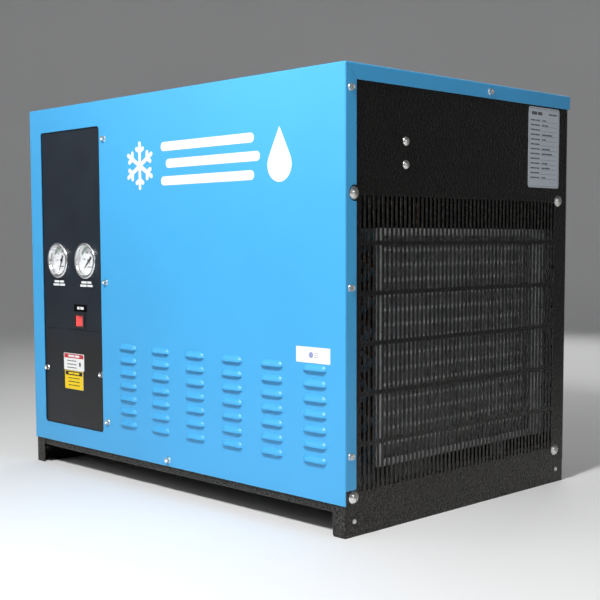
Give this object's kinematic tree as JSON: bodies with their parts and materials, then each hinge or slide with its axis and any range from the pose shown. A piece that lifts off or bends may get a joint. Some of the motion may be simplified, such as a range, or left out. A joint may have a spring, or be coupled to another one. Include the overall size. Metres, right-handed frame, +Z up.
{
  "type": "refrigerated air dryer",
  "caption": "Box-shaped floor-standing refrigerated compressed-air dryer: blue louvered cover, black grille sides, condenser and fan inside, gauges, rocker switch, rear air ports.",
  "frame": {"origin": "on the floor, centre of the four floor bolt holes, which is also the centre of the cabinet's footprint without the rear ports", "axes": "+Z up, -Y out of the front face with the gauges, +X to the right side panel with the condenser grille"},
  "size_m": [0.7592, 0.5566, 0.61],
  "materials": {
    "blue_paint": "gloss powder coat",
    "black_paint": "hammered semi-gloss",
    "panel_paint": "satin",
    "grey_paint": "satin",
    "compressor_paint": "gloss",
    "zinc": "bright zinc plate",
    "galvanised": "galvanised",
    "pipe_steel": "dull",
    "chrome": "polished",
    "dial_white": "satin",
    "lens": "clear",
    "pointer_black": "satin",
    "switch_black": "satin",
    "switch_red": "gloss",
    "tag_white": "satin",
    "sticker_white": "satin",
    "nameplate_metal": "satin",
    "fin_aluminium": "mill",
    "copper": "dull copper",
    "brass": "machined",
    "core_iron": "as cast",
    "rubber": "matte",
    "insulation": "foam",
    "moulded_black": "satin",
    "moulded_grey": "satin",
    "cable": "satin",
    "fan_metal": "mill",
    "button_red": "gloss",
    "capacitor_can": "brushed"
  },
  "bodies": {
    "cabinet": {"front_top_cover": "blue_paint", "right_side_panel": "black_paint", "left_side_panel": "black_paint", "base_pan": "black_paint", "back_panel": "black_paint", "control_panel": "panel_paint", "electrical_box_cover": "panel_paint", "electrical_box": "galvanised", "contactor": "moulded_grey", "run_capacitor": "capacitor_can", "terminal_block": "moulded_grey", "rocker_housing": "switch_black", "gauge_cases": "zinc", "gauge_bezels": "chrome", "gauge_dials": "dial_white", "gauge_lenses": "lens", "name_tags": "tag_white", "stickers": "sticker_white", "nameplate": "nameplate_metal", "cover_screws": "zinc", "side_panel_bolts": "zinc", "bracket_bolts": "zinc", "leg_rivets": "zinc", "condenser_fins": "fin_aluminium", "condenser_tubes": "copper", "condenser_frame": "galvanised", "fan_shroud": "galvanised", "fan_motor": "grey_paint", "fan_guard": "zinc", "compressor_shell": "compressor_paint", "compressor_core": "core_iron", "compressor_terminal_cover": "moulded_black", "compressor_grommets": "rubber", "compressor_bolts": "zinc", "refrigerant_lines": "copper", "filter_drier": "copper", "capillaries": "copper", "accumulator": "compressor_paint", "suction_line": "copper", "hot_gas_bypass_valve": "brass", "heat_exchanger": "insulation", "heat_exchanger_bracket": "galvanised", "separator": "pipe_steel", "air_pipes": "pipe_steel", "air_port_couplings": "pipe_steel", "drain_ball_valve": "brass", "condensate_line": "moulded_black", "drain_valve": "moulded_black", "drain_outlet": "brass", "cable_gland": "moulded_black", "wiring_harness": "cable"},
    "fan": {"fan_rotor": "fan_metal", "fan_shaft": "zinc"},
    "rocker": {"rocker_button": "switch_red"},
    "suction_needle": {"suction_pointer": "pointer_black"},
    "discharge_needle": {"discharge_pointer": "pointer_black"},
    "drain_handle": {"drain_lever": "zinc"},
    "on_time_knob": {"drain_on_knob": "moulded_grey"},
    "off_time_knob": {"drain_off_knob": "moulded_grey"},
    "test_button": {"drain_test_button": "button_red"}
  },
  "joints": [
    {"name": "fan_spin", "type": "hinge", "parent": "cabinet", "child": "fan", "pos_m": [0.2778, 0.0275, 0.239], "axis": [1, 0, 0], "continuous": true},
    {"name": "power_rocker", "type": "hinge", "parent": "cabinet", "child": "rocker", "pos_m": [-0.233, -0.25, 0.2535], "axis": [0, 0, 1], "range_deg": [-20, 0]},
    {"name": "suction_reading", "type": "hinge", "parent": "cabinet", "child": "suction_needle", "pos_m": [-0.2935, -0.2555, 0.354], "axis": [0, 1, 0], "range_deg": [-4, 266]},
    {"name": "discharge_reading", "type": "hinge", "parent": "cabinet", "child": "discharge_needle", "pos_m": [-0.2115, -0.2555, 0.354], "axis": [0, 1, 0], "range_deg": [-4, 266]},
    {"name": "drain_isolation", "type": "hinge", "parent": "cabinet", "child": "drain_handle", "pos_m": [-0.11, 0.04, 0.21445], "axis": [0, 1, 0], "range_deg": [0, 90]},
    {"name": "drain_on_time", "type": "hinge", "parent": "cabinet", "child": "on_time_knob", "pos_m": [-0.316, 0.247, 0.176], "axis": [0, 1, 0], "range_deg": [-135, 135]},
    {"name": "drain_off_time", "type": "hinge", "parent": "cabinet", "child": "off_time_knob", "pos_m": [-0.288, 0.247, 0.176], "axis": [0, 1, 0], "range_deg": [-135, 135]},
    {"name": "drain_test", "type": "slide", "parent": "cabinet", "child": "test_button", "axis": [0, -1, 0], "range_m": [0, 0.002]}
  ]
}
